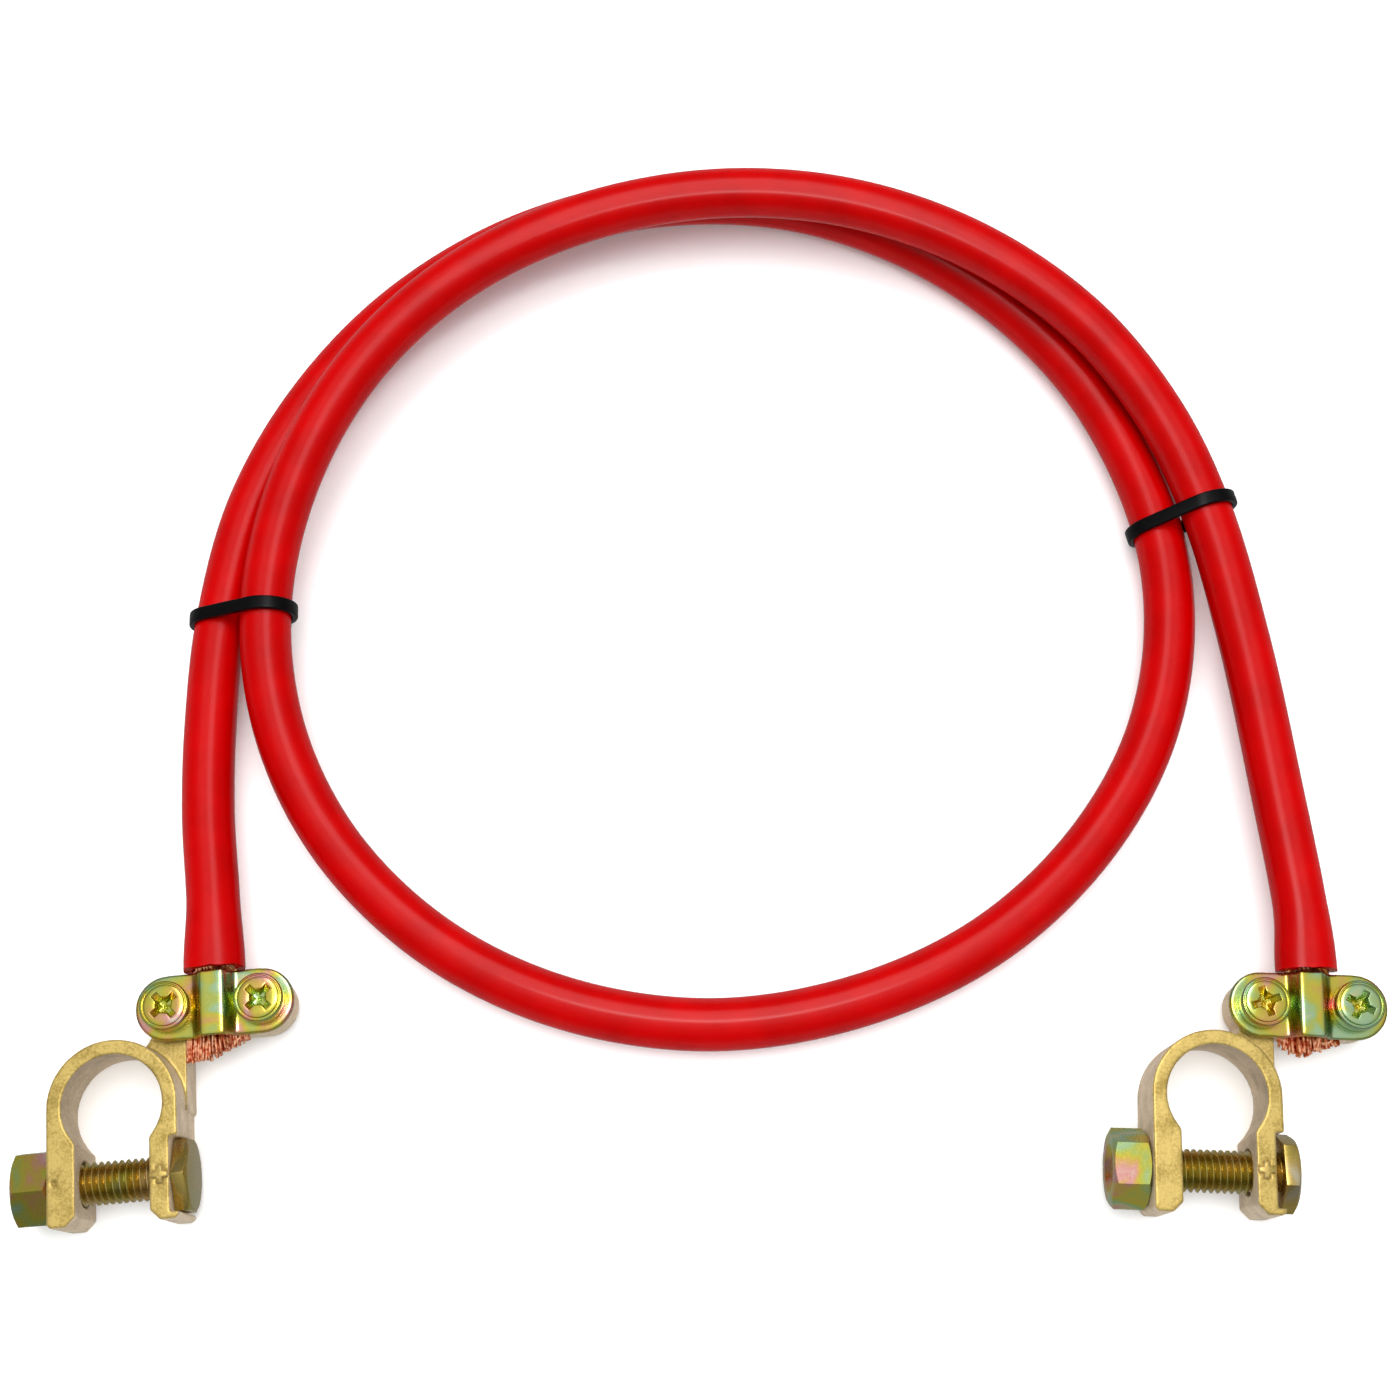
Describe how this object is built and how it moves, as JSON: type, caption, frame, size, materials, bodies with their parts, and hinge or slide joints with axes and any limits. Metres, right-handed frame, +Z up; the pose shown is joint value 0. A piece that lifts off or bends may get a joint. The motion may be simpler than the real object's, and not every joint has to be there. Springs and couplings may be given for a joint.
{
  "type": "battery cable",
  "caption": "Red insulated battery cable, wound one and a half turns under black ties, with a cast post clamp bolted to each end.",
  "frame": {"origin": "on the floor under the middle of the box round the two clamps", "axes": "+X along the row of the two clamps, from the left clamp to the right one, +Y from the clamps towards the wound loop, +Z up"},
  "size_m": [0.254, 0.2166, 0.0207],
  "materials": {
    "jacket_pvc": "glossy moulded PVC",
    "copper": null,
    "clamp_casting": "sand cast, pale yellow, lightly tumbled",
    "zinc_plated_steel": "yellow passivated zinc",
    "tie_nylon": "moulded black nylon"
  },
  "bodies": {
    "root": {"cable_jacket": "jacket_pvc", "cable_tie_left": "tie_nylon", "cable_tie_right": "tie_nylon", "copper_conductor": "copper", "left_clamp_body": "clamp_casting", "left_clamp_bolt": "zinc_plated_steel", "left_clamp_nut": "zinc_plated_steel", "left_saddle_screw_inner": "zinc_plated_steel", "left_saddle_screw_outer": "zinc_plated_steel", "left_saddle_strap": "zinc_plated_steel", "right_clamp_body": "clamp_casting", "right_clamp_bolt": "zinc_plated_steel", "right_clamp_nut": "zinc_plated_steel", "right_saddle_screw_inner": "zinc_plated_steel", "right_saddle_screw_outer": "zinc_plated_steel", "right_saddle_strap": "zinc_plated_steel"}
  },
  "joints": []
}
